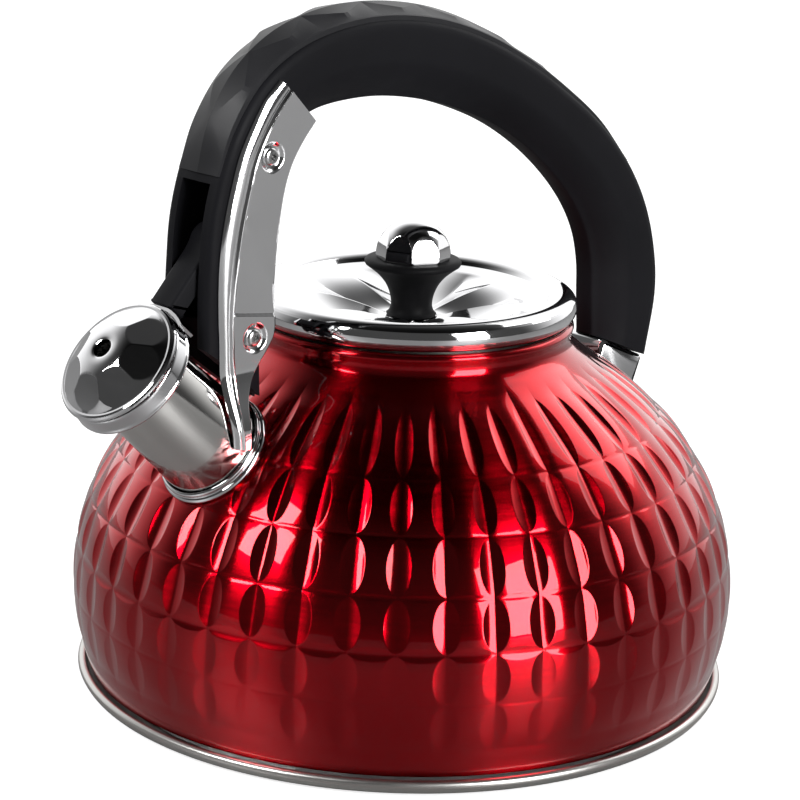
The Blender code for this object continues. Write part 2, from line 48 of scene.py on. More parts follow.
# Body of revolution (radius, height), in mm from the base plane, as the CAD shell has it.
BODY_OUTLINE = [
    (104.7, 5.9), (106.6, 13.0), (108.6, 22.0), (109.5, 32.0), (108.9, 43.0), (106.8, 54.0),
    (102.9, 65.0), (97.2, 75.6), (88.9, 87.0), (78.1, 97.2), (67.5, 105.3), (59.0, 111.0), (54.4, 114.6),
]
NECK = [
    (53.1, 116.0), (52.6, 117.4), (52.5, 118.8), (52.9, 120.2), (53.2, 121.4), (52.5, 122.5),
    (51.3, 122.9), (50.2, 122.4),
]
MOUTH = [(49.9, 121.6), (49.9, 119.0), (50.6, 116.4)]       # inside of the neck
WALL = (1.5, 0.7)               # inward and downward offset of the shell's inner face
INNER_FLOOR = 6.2
SPOUT_HOLE = 17.1               # radius
SPOUT_HOLE_REACH = 14           # each way along the spout's axis
COLUMNS = 45
COLUMN_PHASE = 224.4            # degrees, a line of joints
LENS_HALF = 0.56                # upright lens, as a share of half a column
LENS_REACH = 0.94               # and of half a row
LENS_DEPTH = 0.72
# Heights where the embossed rows meet, with the lying lens there: its share of half a row, and its depth.
RINGS = [15.4, 30.7, 46.1, 62.4, 78.7, 93.0, 109.3]
BAR_HALF = [0.03, 0.12, 0.27, 0.13, 0.10, 0.10, 0.03]
BAR_DEPTH = [0.0, 0.05, 0.26, 0.10, 0.07, 0.06, 0.0]
BAR_REACH = 0.86                # its length, as a share of a column
ROW_WEIGHT = [0.32, 0.6, 1.0, 1.0, 1.0, 0.9]        # how strongly each row is pressed
PILLOW_ACROSS = 0.36            # fall from the middle of a cushion to its sides
PILLOW_ALONG = 0.34             # and to its ends
EMBOSS_FOOT = 11.5              # where the pressing fades out above the base
EMBOSS_FADE = 3.0               # and how far above the top ring it does

SPOUT = Vector((-84.8, 0.0, 93.2))
SPOUT_RISE = 42.4
LEVER_REACH = 47.5
CAP_FOOT = 42.6

HANDLE_HALF = 10.8
HANDLE_STATIONS = [             # outer x, outer z, inner x, inner z, half width of the inner face
    (-96.2, 128.0, -72.6, 109.5, 8.6), (-96.4, 141.0, -73.6, 132.0, 8.6), (-96.0, 152.0, -74.0, 149.0, 8.6),
    (-94.8, 166.0, -72.6, 166.0, 8.6), (-91.2, 180.0, -69.6, 178.0, 8.0), (-85.0, 194.0, -65.5, 186.5, 7.0),
    (-74.5, 207.0, -57.6, 192.4, 6.0), (-60.0, 215.6, -48.0, 195.6, 5.0), (-42.0, 220.3, -35.0, 196.9, 4.4),
    (-22.0, 221.4, -20.0, 196.6, 4.0), (0.0, 218.6, -3.0, 194.0, 4.0), (21.0, 212.2, 14.0, 189.4, 4.0),
    (41.4, 202.8, 31.3, 182.6, 4.0), (60.8, 191.4, 47.3, 173.5, 4.0), (78.2, 179.3, 61.5, 162.7, 4.0),
    (93.3, 164.7, 72.8, 151.2, 4.0), (104.0, 149.0, 80.2, 139.7, 4.0), (110.4, 132.0, 83.7, 128.2, 4.0),
    (112.5, 115.0, 84.7, 116.5, 4.0), (108.6, 92.9, 86.0, 102.5, 4.0),
]
CROWN_FIRST = 4
CROWN_PROUD = [0.8, 3.0, 4.2, 5.0, 5.1, 4.7, 4.5, 4.3, 3.9, 3.2, 2.0, 0.1]
CROWN_HALF = 9.2
# Where the crown's diamonds meet, in mm along the arch.
CROWN_JOINTS = [-2.0, 16.5, 38.4, 59.5, 83.0, 106.0, 129.0, 152.0, 175.0, 198.0, 221.0, 244.0]
DIAMOND_HALF = 6.9
ROOF_SLOPE = 0.2                # fall of a diamond from its middle line to its corners
SLOT_HALF = 6.2
SLOT_TOP = 177.5
SLOT_BACK = -77.0

CHEEK_IN = 11.1
CHEEK_SPLAY = 17.1
CHEEK_T = 2.5
SPLAY_TOP = 122.0
SPLAY_FOOT = 101.0
# Side plate, from the tip to the foot: front x and z, rear x and z, and the ridge's share of the way back.
CHEEK_STATIONS = [
    (-69.8, 207.2, -56.4, 193.6, 0.27), (-75.5, 201.7, -60.9, 188.5, 0.29),
    (-80.8, 193.9, -64.8, 182.9, 0.29), (-85.3, 185.4, -67.4, 177.1, 0.30),
    (-88.2, 176.2, -68.9, 171.2, 0.31), (-90.4, 167.5, -69.8, 165.0, 0.30),
    (-92.1, 157.0, -70.6, 156.5, 0.28), (-92.6, 146.5, -71.0, 147.0, 0.23),
    (-92.4, 137.0, -71.2, 138.0, 0.19), (-92.0, 130.0, -71.3, 130.5, 0.18),
    (-91.8, 123.5, -74.8, 124.6, 0.22), (-91.6, 116.5, -81.5, 116.5, 0.38),
    (-91.4, 107.8, -84.9, 108.4, 0.46), (-90.6, 98.0, -85.4, 97.4, 0.52),
]
LEAF_TOP = (-82.5, 161.4)       # corners of the sunk facets in a side plate
LEAF_REAR = (-72.2, 145.5)
LEAF_BROW = (-82.7, 168.3)
LEAF_FOOT = 138.8
LEAF_DEPTH = 0.95
SEAT_REACH = 4.9                # dished seat round each screw of a side plate
SEAT_EDGE = 1.7
SEAT_DEPTH = 1.1
CHEEK_SCREWS = {"upper": (-73.9, 184.7), "lower": (-79.4, 129.9)}

CAP_PHASE = -86.0               # degrees, the middle of one of the eight flats
DOME_T = 0.9
LID_FLUTES = 8
LID_PHASE = 15.0                # degrees
KNOB_PHASE = 246.0
KNOB_FOOT = 141.7
KNOB_APOTHEM = 11.3
KNOB_BOW = 14.5                 # height over which its flats would curve in to the axis

# Camera: where the view is taken from, in mm.
EYE = Vector((-584.5, -582.4, 332.6))
PAN = -0.18
PITCH = 16.18
ROLL = 2.0
LENS = 117.4
TURN = 45.1                     # degrees from the +Y axis to the view, toward the right

CAMERA_SIDE = -135.0            # degrees, the direction from the kettle to the camera
LIGHT_DISTANCE = 3.0            # metres
LIGHT_AIM = 0.08                # height they point at


# ---------------------------------------------------------------- geometry helpers

def smooth_line(points, count):
    """Points along a Catmull-Rom curve through rows of numbers, count to each span."""
    rows = np.array(points, float)
    padded = np.vstack([2 * rows[0] - rows[1], rows, 2 * rows[-1] - rows[-2]])
    made = []
    for i in range(1, len(padded) - 2):
        p0, p1, p2, p3 = padded[i - 1:i + 3]
        for t in np.arange(count) / count:
            made.append(0.5 * (2 * p1 + (p2 - p0) * t + (2 * p0 - 5 * p1 + 4 * p2 - p3) * t ** 2
                               + (3 * p1 - p0 - 3 * p2 + p3) * t ** 3))
    made.append(rows[-1])
    return np.array(made)


def ease(t):
    t = np.clip(t, 0.0, 1.0)
    return t * t * (3 - 2 * t)


def new_object(name, bm, material, angle=30.0, turn=True):
    """bm, in mm in the row frame, as a finished piece. turn works out which way its faces look."""
    if turn:
        bmesh.ops.recalc_face_normals(bm, faces=bm.faces)
    bmesh.ops.scale(bm, vec=(MM, MM, MM), verts=bm.verts)
    mesh = bpy.data.meshes.new(name)
    bm.to_mesh(mesh)
    bm.free()
    mesh.shade_smooth()
    mesh.set_sharp_from_angle(angle=math.radians(angle))
    obj = bpy.data.objects.new(name, mesh)
    bpy.context.scene.collection.objects.link(obj)
    if material:
        mesh.materials.append(material)
    return obj


def piece(obj, body, nodes):
    """Rides obj on a body in place of CAD nodes."""
    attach(obj, body)
    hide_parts(*nodes)
    return obj


def grid_mesh(rows, wrap_rows=False, wrap_columns=True, caps=False):
    """A mesh through rows of points, joined round each row and from row to row."""
    bm = bmesh.new()
    rings = [[bm.verts.new(point) for point in row] for row in rows]
    pairs = list(zip(rings, rings[1:]))
    if wrap_rows:
        pairs.append((rings[-1], rings[0]))
    last = len(rings[0]) if wrap_columns else len(rings[0]) - 1
    for one, two in pairs:
        for i in range(last):
            j = (i + 1) % len(one)
            bm.faces.new((one[i], one[j], two[j], two[i]))
    if caps:
        bm.faces.new(rings[0][::-1])
        bm.faces.new(rings[-1])
    return bm


def lathe(name, outline, material, steps=128, place=None, shape=None, angle=30.0):
    """A closed (radius, height) outline turned about Z. shape may change each point's radius and height."""
    angles = np.linspace(0.0, math.tau, steps, endpoint=False)
    rows = []
    for radius, height in outline:
        row = []
        for a in angles:
            r, h = shape(radius, height, a) if shape else (radius, height)
            row.append((r * math.cos(a), r * math.sin(a), h))
        rows.append(row)
    bm = grid_mesh(rows, wrap_rows=True)
    bmesh.ops.remove_doubles(bm, verts=bm.verts, dist=1e-4)
    bmesh.ops.dissolve_degenerate(bm, edges=bm.edges, dist=1e-4)
    if place:
        bmesh.ops.transform(bm, matrix=place, verts=bm.verts)
    return new_object(name, bm, material, angle)


def rounded(outline, radius, steps=4):
    """The closed outline with each corner cut to an arc. radius is one number, or one for each corner."""
    made = []
    count = len(outline)
    for i, corner in enumerate(outline):
        r = radius[i] if isinstance(radius, (list, tuple)) else radius
        here = Vector(corner)
        back = Vector(outline[i - 1]) - here
        ahead = Vector(outline[(i + 1) % count]) - here
        reach = min(r, 0.45 * back.length, 0.45 * ahead.length)
        if reach < 1e-3:
            made.append(tuple(here))
            continue
        start, end = here + back.normalized() * reach, here + ahead.normalized() * reach
        for k in range(steps + 1):
            t = k / steps
            made.append(tuple(start * (1 - t) ** 2 + here * 2 * t * (1 - t) + end * t ** 2))
    return made


def spout_place():
    return Matrix.Translation(SPOUT) @ Matrix.Rotation(-math.radians(90.0 - SPOUT_RISE), 4, "Y")


def boolean(obj, cutter, solver="EXACT"):
    """Cuts cutter from obj and applies it."""
    modifier = obj.modifiers.new("Cut", "BOOLEAN")
    modifier.operation = "DIFFERENCE"
    modifier.solver = solver
    modifier.object = cutter
    graph = bpy.context.evaluated_depsgraph_get()
    mesh = bpy.data.meshes.new_from_object(obj.evaluated_get(graph))
    obj.modifiers.clear()
    obj.data = mesh
    bpy.data.objects.remove(cutter, do_unlink=True)


def bar(radius, start, end, steps=48):
    """A plain round bar, used as a cutter."""
    start, end = Vector(start), Vector(end)
    along = end - start
    bm = bmesh.new()
    turn = along.to_track_quat("Z", "Y").to_matrix().to_4x4()
    place = Matrix.Translation((start + end) / 2) @ turn
    bmesh.ops.create_cone(
        bm, cap_ends=True, segments=steps, radius1=radius, radius2=radius, depth=along.length, matrix=place
    )
    return new_object("cutter", bm, None)


def block(low, high):
    """A plain box, used as a cutter."""
    bm = bmesh.new()
    bmesh.ops.create_cube(bm, size=1.0)
    bmesh.ops.scale(bm, vec=Vector(high) - Vector(low), verts=bm.verts)
    bmesh.ops.translate(bm, vec=(Vector(high) + Vector(low)) / 2, verts=bm.verts)
    return new_object("cutter", bm, None)


# ---------------------------------------------------------------- materials

class Nodes:
    """A material's node tree with short ways to add what every finish here needs."""

    def __init__(self, name):
        self.material = bpy.data.materials.new(name)
        self.material.use_nodes = True
        self.tree = self.material.node_tree
        self.shader = self.tree.nodes["Principled BSDF"]
        self.coordinates = self.tree.nodes.new("ShaderNodeTexCoord")

    def link(self, out, into):
        self.tree.links.new(out, into)

    def noise(self, scale, stretch=(1.0, 1.0, 1.0), detail=3.0, roughness=0.5):
        mapping = self.tree.nodes.new("ShaderNodeMapping")
        mapping.inputs["Scale"].default_value = stretch
        self.link(self.coordinates.outputs["Object"], mapping.inputs["Vector"])
        node = self.tree.nodes.new("ShaderNodeTexNoise")
        node.inputs["Scale"].default_value = scale
        node.inputs["Detail"].default_value = detail
        node.inputs["Roughness"].default_value = roughness
        self.link(mapping.outputs["Vector"], node.inputs["Vector"])
        return node.outputs["Fac"]

    def spread(self, value, low, high, start=0.3, end=0.7):
        node = self.tree.nodes.new("ShaderNodeMapRange")
        node.inputs["From Min"].default_value = start
        node.inputs["From Max"].default_value = end
        node.inputs["To Min"].default_value = low
        node.inputs["To Max"].default_value = high
        self.link(value, node.inputs["Value"])
        return node.outputs["Result"]

    def colours(self, value, one, two, start=0.3, end=0.7):
        ramp = self.tree.nodes.new("ShaderNodeValToRGB")
        ramp.color_ramp.elements[0].position = start
        ramp.color_ramp.elements[1].position = end
        ramp.color_ramp.elements[0].color = (*one, 1.0)
        ramp.color_ramp.elements[1].color = (*two, 1.0)
        self.link(value, ramp.inputs["Fac"])
        return ramp.outputs["Color"]

    def bump(self, value, depth, strength=1.0):
        node = self.tree.nodes.new("ShaderNodeBump")
        node.inputs["Strength"].default_value = strength
        node.inputs["Distance"].default_value = depth * MM
        self.link(value, node.inputs["Height"])
        self.link(node.outputs["Normal"], self.shader.inputs["Normal"])

    def put(self, **values):
        for name, value in values.items():
            self.shader.inputs[name.replace("_", " ")].default_value = value


def lacquer():
    """Clear red lacquer over steel brushed round the body: upright streaks below a hard, glassy coat."""
    n = Nodes("red_lacquer")
    n.put(Metallic=1.0, Anisotropic=0.95, Anisotropic_Rotation=0.25)
    n.put(Coat_Weight=1.0, Coat_Roughness=0.02, Coat_IOR=1.3)
    tangent = n.tree.nodes.new("ShaderNodeTangent")
    tangent.direction_type = "RADIAL"
    tangent.axis = "Z"
    n.link(tangent.outputs["Tangent"], n.shader.inputs["Tangent"])
    cloud = n.noise(18.0, detail=4.0)
    red = n.colours(cloud, (0.34, 0.0, 0.004), (0.42, 0.0004, 0.006))
    n.link(red, n.shader.inputs["Base Color"])
    grain = n.noise(40.0, (1.0, 1.0, 18.0), detail=6.0, roughness=0.65)
    n.link(n.spread(grain, 0.17, 0.25), n.shader.inputs["Roughness"])
    return n.material


def polished(name, tint=(0.72, 0.72, 0.73), rough=(0.03, 0.08), scale=60.0):
    """Plated and buffed metal with faint wipe marks."""
    n = Nodes(name)
    n.put(Metallic=1.0)
    cloud = n.noise(scale, detail=5.0, roughness=0.6)
    darker = tuple(0.94 * c for c in tint)
    n.link(n.colours(cloud, darker, tint), n.shader.inputs["Base Color"])
    wipe = n.noise(scale * 6.0, (1.0, 0.2, 1.0), detail=6.0)
    n.link(n.spread(wipe, *rough), n.shader.inputs["Roughness"])
    n.bump(n.noise(35.0, detail=1.0), 0.02, 0.35)
    return n.material


def brushed(name, stretch, tint=(0.56, 0.55, 0.53), rough=(0.24, 0.4)):
    """Steel with the fine lines of a belt finish; stretch sets which way they run."""
    n = Nodes(name)
    n.put(Metallic=1.0)
    lines = n.noise(30.0, stretch, detail=8.0, roughness=0.7)
    darker = tuple(0.8 * c for c in tint)
    n.link(n.colours(lines, darker, tint), n.shader.inputs["Base Color"])
    n.link(n.spread(lines, *rough), n.shader.inputs["Roughness"])
    n.bump(lines, 0.03, 0.5)
    return n.material


def grip(name, tint=(0.005, 0.005, 0.0062), rough=(0.5, 0.62), sheen=0.09):
    """Soft-touch black moulding with a fine grain."""
    n = Nodes(name)
    n.put(Specular_IOR_Level=sheen)
    cloud = n.noise(24.0, detail=3.0)
    lighter = tuple(1.5 * c for c in tint)
    n.link(n.colours(cloud, tint, lighter), n.shader.inputs["Base Color"])
    n.link(n.spread(n.noise(70.0, detail=4.0), *rough), n.shader.inputs["Roughness"])
    n.bump(n.noise(1900.0, detail=2.0), 0.03, 0.45)
    return n.material


def silicone():
    n = Nodes("seal_silicone")
    cloud = n.noise(80.0)
    n.link(n.colours(cloud, (0.16, 0.16, 0.17), (0.24, 0.24, 0.25)), n.shader.inputs["Base Color"])
    n.link(n.spread(n.noise(300.0), 0.5, 0.65), n.shader.inputs["Roughness"])
    n.bump(n.noise(900.0), 0.02, 0.4)
    return n.material


RED = lacquer()
CHROME = polished("polished_chrome")
CHEEK_METAL = polished("satin_chrome", (0.88, 0.88, 0.89), (0.06, 0.1), 40.0)
RING_STEEL = brushed("brushed_round_z", (1.0, 1.0, 260.0))
PIPE_STEEL = polished("buffed_pipe", (0.62, 0.61, 0.59), (0.05, 0.1), 40.0)
SHEET_STEEL = brushed("sheet_steel", (1.0, 1.0, 90.0), (0.6, 0.59, 0.57), (0.2, 0.34))
CAST_ALUMINIUM = polished("cast_aluminium", (0.6, 0.6, 0.61), (0.4, 0.6), 200.0)
BOLT_STEEL = polished("bolt_steel", (0.5, 0.5, 0.5), (0.16, 0.28), 300.0)
GRIP = grip("black_grip")
CROWN_GRIP = grip("black_inlay", (0.013, 0.013, 0.0145), (0.36, 0.46), 0.22)
STEM_BLACK = grip("black_stem", (0.004, 0.004, 0.0045), (0.5, 0.6))
SEAL = silicone()


# ---------------------------------------------------------------- body

def body_profile(count):
    line = smooth_line(BODY_OUTLINE, count)
    return line[:, 0], line[:, 1]


def bowl(across, along):
    """Depth of a lens pressed by a rounded punch: 1 in its middle, 0 from its border out."""
    return np.maximum(0.0, 1.0 - across ** 2 - along ** 2)


def press(u, v, row):
    """Depth of the pressing, in mm, at u across a column and v up a row, both from -1 to 1."""
    upright = LENS_DEPTH * bowl((1 - np.abs(u)) / LENS_HALF, v / LENS_REACH)
    ring = np.where(v < 0, row, row + 1)
    half, deep = np.array(BAR_HALF)[ring], np.array(BAR_DEPTH)[ring]
    lying = deep * bowl(u / BAR_REACH, (1 - np.abs(v)) / half)
    pillow = PILLOW_ACROSS * u ** 2 + PILLOW_ALONG * np.abs(v) ** 2.5
    beside = np.array([ROW_WEIGHT[0]] + ROW_WEIGHT + [0.0])[np.where(v > 0, row + 2, row)]
    weight = ROW_WEIGHT[row] + 0.5 * (beside - ROW_WEIGHT[row]) * np.abs(v) ** 3
    return weight * (upright + pillow) + lying


def column_samples():
    """Places across one column, as shares of the pillow (first) and of the lens (second)."""
    pillow = [(t, 0.0) for t in (-1.0, -0.93, -0.75, -0.45, -0.15, 0.15, 0.45, 0.75, 0.93, 1.0)]
    lens = [(1.0, t) for t in (0.08, 0.3, 0.6, 0.85, 1.0, 1.15, 1.4, 1.7, 1.92)]
    return pillow + lens


def lens_width(v):
    """Half width of the upright lens at v, never quite closed so that the mesh keeps its columns."""
    return np.maximum(LENS_HALF * np.sqrt(np.maximum(1 - (v / LENS_REACH) ** 2, 0.0)), 0.03)


def body_rows():
    """Rows of (angle, z, depth) arrays up the embossed band, denser where the pressing has edges."""
    samples = column_samples()
    column = np.array([k for k in range(COLUMNS) for _ in samples], float)
    pillow_share = np.array([s[0] for s in samples] * COLUMNS)
    lens_share = np.array([s[1] for s in samples] * COLUMNS)

    def across(half):
        u = pillow_share * (1 - half) + lens_share * half
        angle = math.radians(COLUMN_PHASE) + (column + 0.5 + 0.5 * u) * math.tau / COLUMNS
        return np.where(u > 1, u - 2, u), angle

    spread = [0.5 - 0.5 * math.cos(math.pi * k / 18) for k in range(1, 18)]
    steps = [-1.0, -0.6, -0.3, 0.0] + spread + [1.0, 1.3, 1.6]
    rows = []
    for row, (low, high) in enumerate(zip(RINGS, RINGS[1:])):
        for step in steps:
            u, _ = across(0.3)
            rest = np.sqrt(np.maximum(1 - (u / BAR_REACH) ** 2, 0.01))
            below, above = BAR_HALF[row] * rest, BAR_HALF[row + 1] * rest
            if step <= 0:
                v = -1 + below * (1 + step)
            elif step < 1:
                v = -1 + below + (2 - below - above) * step
            else:
                v = 1 - above + above * (step - 1)
            u, angle = across(lens_width(v))
            rows.append((angle, (low + high) / 2 + (high - low) / 2 * v, press(u, v, row)))
    u, angle = across(lens_width(np.ones_like(column)))
    rows.append((angle, np.full_like(u, RINGS[-1]), press(u, np.ones_like(u), len(ROW_WEIGHT) - 1)))
    return rows


def build_body():
    radii, heights = body_profile(12)
    slope = np.gradient(radii, heights)

    def place(angle, z, depth):
        r = np.interp(z, heights, radii)
        k = np.interp(z, heights, slope)
        unit = np.sqrt(1 + k ** 2)
        r_out, z_out = r - depth / unit, z + depth * k / unit
        return [(a, b, c) for a, b, c in zip(r_out * np.cos(angle), r_out * np.sin(angle), z_out)]

    band = body_rows()
    first, last = band[0], band[-1]
    rows = []
    for z in (5.9, 7.5, 9.5, 11.5, 12.5, 13.5, 14.5):
        fade = ease((z - EMBOSS_FOOT) / (RINGS[0] - EMBOSS_FOOT))
        rows.append(place(first[0], np.full_like(first[0], z), first[2] * fade))
    rows += [place(*row) for row in band]
    for z in (109.9, 110.8, 111.8, 112.8, 113.7, 114.6):
        fade = 1 - ease((z - RINGS[-1]) / EMBOSS_FADE)
        rows.append(place(last[0], np.full_like(last[0], z), last[2] * fade))
    plain = first[0]
    for r, z in smooth_line([(54.4, 114.6)] + NECK, 4)[1:]:
        rows.append([(r * math.cos(a), r * math.sin(a), z) for a in plain])
    outer_rows = len(rows)
    inner = MOUTH + [(r - WALL[0], z - WALL[1]) for r, z in zip(radii[::-6], heights[::-6])]
    for r, z in inner:
        rows.append([(r * math.cos(a), r * math.sin(a), max(z, INNER_FLOOR)) for a in plain])
    bm = grid_mesh(rows, wrap_rows=True)
    bm.faces.ensure_lookup_table()
    per_row = len(plain)
    for index, face in enumerate(bm.faces):
        face.material_index = 0 if index < (outer_rows - 1) * per_row else 1
    body = new_object("body_skin", bm, RED, 24.0, turn=False)
    body.data.materials.append(SHEET_STEEL)
    reach = spout_axis() * SPOUT_HOLE_REACH
    hole = bar(SPOUT_HOLE, SPOUT - reach, SPOUT + reach, 64)
    boolean(body, hole, "MANIFOLD")
    piece(body, BODY, ["body_shell"])


def spout_axis():
    rise = math.radians(SPOUT_RISE)
    return Vector((-math.cos(rise), 0.0, math.sin(rise)))


def build_base():
    outline = [(0.0, 0.0), (103.4, 0.0), (106.8, 1.4), (108.0, 3.7), (107.7, 4.9), (106.6, 5.6), (105.4, 5.3),
               (104.9, 2.4), (102.4, 0.9), (0.0, 0.9)]
    corners = [0, 2.2, 1.6, 1.0, 0.8, 0.8, 0.5, 1.5, 1.5, 0]
    rim = lathe("base_rim", rounded(outline, corners, 5), RING_STEEL, 256)
    piece(rim, BODY, ["base_capsule"])


# ---------------------------------------------------------------- spout and cap

def build_spout():
    place = spout_place()
    pipe = [
        (16.75, -4.2), (16.75, 0.0), (14.6, 43.4), (14.45, 43.9), (14.1, 44.0), (13.8, 43.7), (15.85, 0.0),
        (15.85, -4.2),
    ]
    obj = lathe("spout_pipe", pipe, PIPE_STEEL, 160, place)
    piece(obj, BODY, ["spout_tube"])
    ring = [(17.0, -2.0), (18.6, -2.1), (19.0, -1.2), (18.6, -0.35), (17.9, -0.1), (17.75, 0.3), (18.1, 0.9),
            (17.9, 1.6), (17.2, 1.9), (17.0, 1.6)]
    obj = lathe("spout_collar", rounded(ring, 0.5, 3), CHROME, 160, place)
    piece(obj, BODY, ["spout_base_ring"])


def dome_height(r):
    """Outer height of the cap's dome at a radius."""
    line = smooth_line([(3.1, 57.7), (6.0, 57.5), (9.4, 56.6), (13.0, 54.95), (16.4, 52.5), (18.4, 50.75)], 8)
    return float(np.interp(r, line[:, 0], line[:, 1]))


def facet_offset(angle, phase):
    """Angle from the middle of the nearest of eight flats, the first of which is at phase degrees."""
    step = math.tau / 8
    return (angle - math.radians(phase) + step / 2) % step - step / 2


def build_cap():
    place = spout_place()
    angles = np.linspace(0.0, math.tau, 320, endpoint=False)
    arch, foot = 8.3, 18.4
    slope = (dome_height(arch) - dome_height(foot)) / (foot - arch)

    def faceted(r, h, a):
        """Flats cut round the dome, with arched tops."""
        return min(h, dome_height(arch) - slope * (r * math.cos(facet_offset(a, CAP_PHASE)) - arch))

    radii = [3.1 + (18.2 - 3.1) * k / 44 for k in range(45)]
    rim = [(18.6, 50.65), (19.2, 50.7), (19.8, 50.45), (20.3, 49.9), (20.4, 49.3), (20.0, 48.8), (19.3, 48.6)]
    under = [(17.0, 50.2), (13.8, 52.7), (9.0, 55.1), (3.1, 56.6)]
    rows = [[(3.1 * math.cos(a), 3.1 * math.sin(a), 57.2) for a in angles]]
    for r in radii:
        h = dome_height(r) - 0.35 * math.exp(-(r - 3.1) / 0.5)
        rows.append([(r * math.cos(a), r * math.sin(a), faceted(r, h, a)) for a in angles])
    for r, h in rim:
        rows.append([(r * math.cos(a), r * math.sin(a), h) for a in angles])
    for r, h in under:
        rows.append([(r * math.cos(a), r * math.sin(a), faceted(r, h, a) - DOME_T) for a in angles])
    bm = grid_mesh(rows, wrap_rows=True)
    bmesh.ops.transform(bm, matrix=place, verts=bm.verts)
    dome = new_object("cap_shell", bm, CHROME, 14.0)
    piece(dome, LEVER, ["cap_dome"])
    band = [(20.6, 42.6), (20.7, 43.2), (20.35, 43.9), (20.2, 47.6), (20.0, 48.3), (19.3, 48.3), (19.4, 43.7),
            (15.4, 43.5), (15.4, 42.6)]
    obj = lathe("cap_band", rounded(band, 0.3, 3), CHROME, 160, place)
    piece(obj, LEVER, ["cap_sleeve"])


def build_lever():
    """Arm, hub and trigger, drawn in the XZ plane and rounded along every edge."""
    place = spout_place()

    def at(reach, station):
        return place @ Vector((reach, 0.0, station))

    outline = [at(21.9, 41.6), at(21.9, 48.3), at(LEVER_REACH - 6.0, 48.3)]
    for k in range(9):
        a = math.radians(118 + (20 - 118) * k / 8)
        outline.append(at(LEVER_REACH + 7.0 * math.cos(a), CAP_FOOT + 7.0 * math.sin(a)))
    trigger = [(-77.6, 153.0), (-71.0, 152.0), (-67.0, 150.2), (-65.4, 145.0), (-64.9, 137.0), (-65.2, 130.6),
               (-66.8, 129.2), (-68.8, 130.8), (-69.6, 138.0), (-71.8, 143.8), (-77.0, 147.0), (-82.0, 149.0)]
    outline += [Vector((x, 0.0, z)) for x, z in trigger]
    outline.append(at(LEVER_REACH - 9.0, 41.6))
    flat = [(p.x, p.z) for p in outline]
    flat = rounded(flat, [0.3, 0.3] + [2.0] * (len(flat) - 2), 3)
    layers = [(-5.0, 1.0), (-4.7, 0.35), (-4.0, 0.0), (4.0, 0.0), (4.7, 0.35), (5.0, 1.0)]
    rows = []
    for y, inset in layers:
        rows.append([(x, y, z) for x, z in inset_outline(flat, inset)])
    obj = new_object("lever_arm", grid_mesh(rows, caps=True), GRIP, 40.0)
    axis = place @ Vector((LEVER_REACH, 0.0, CAP_FOOT))
    boolean(obj, bar(1.8, (axis.x, -9, axis.z), (axis.x, 9, axis.z), 32))
    boolean(obj, bar(5.2, (axis.x, 1.9, axis.z), (axis.x, 7, axis.z), 48))
    obj.data.shade_smooth()
    obj.data.set_sharp_from_angle(angle=math.radians(40))
    piece(obj, LEVER, ["lever"])


def inset_outline(points, distance):
    """A closed (x, z) outline moved inwards."""
    count = len(points)
    area = sum(points[i - 1][0] * points[i][1] - points[i][0] * points[i - 1][1] for i in range(count))
    side = 1.0 if area > 0 else -1.0
    moved = []
    for i in range(count):
        ahead = Vector(points[(i + 1) % count]) - Vector(points[i - 1])
        if ahead.length < 1e-6:
            moved.append(points[i])
            continue
        ahead.normalize()
        moved.append((points[i][0] - ahead.y * distance * side, points[i][1] + ahead.x * distance * side))
    return moved


# ---------------------------------------------------------------- handle

def handle_ring(station):
    """Section of the arch: narrow inner face, sloping flanks, upright sides and a rounded outer face."""
    out_x, out_z, in_x, in_z, inner_half = station
    flank = inner_half + (HANDLE_HALF - inner_half) * 0.22
    side = [
        (0.0, inner_half - 0.8), (0.01, inner_half - 0.3), (0.035, inner_half), (0.10, flank),
        (0.26, flank + (HANDLE_HALF - flank) * 0.62), (0.40, HANDLE_HALF - 0.5), (0.45, HANDLE_HALF - 0.12),
        (0.5, HANDLE_HALF), (0.7, HANDLE_HALF), (0.86, HANDLE_HALF), (0.93, HANDLE_HALF - 0.35),
        (0.975, HANDLE_HALF - 1.1), (1.0, HANDLE_HALF - 2.3),
    ]
    ring = [(u, -y) for u, y in side] + [(u, y) for u, y in reversed(side)]
    return [(in_x + (out_x - in_x) * u, y, in_z + (out_z - in_z) * u) for u, y in ring]


def build_handle():
    stations = smooth_line(HANDLE_STATIONS, 6)
    bm = grid_mesh([handle_ring(s) for s in stations], caps=True)
    frame_obj = new_object("handle_grip", bm, GRIP, 40.0)
    boolean(frame_obj, block((-110, -SLOT_HALF, 90), (SLOT_BACK, SLOT_HALF, SLOT_TOP)))
    boolean(frame_obj, block((-90, -5.4, 121), (-60, 5.4, 155)))
    boolean(frame_obj, bar(3.2, (106, 0, 118), (130, 0, 124.5), 32))
    frame_obj.data.shade_smooth()
    frame_obj.data.set_sharp_from_angle(angle=math.radians(38))
    piece(frame_obj, BODY, ["handle_frame"])
    build_crown()


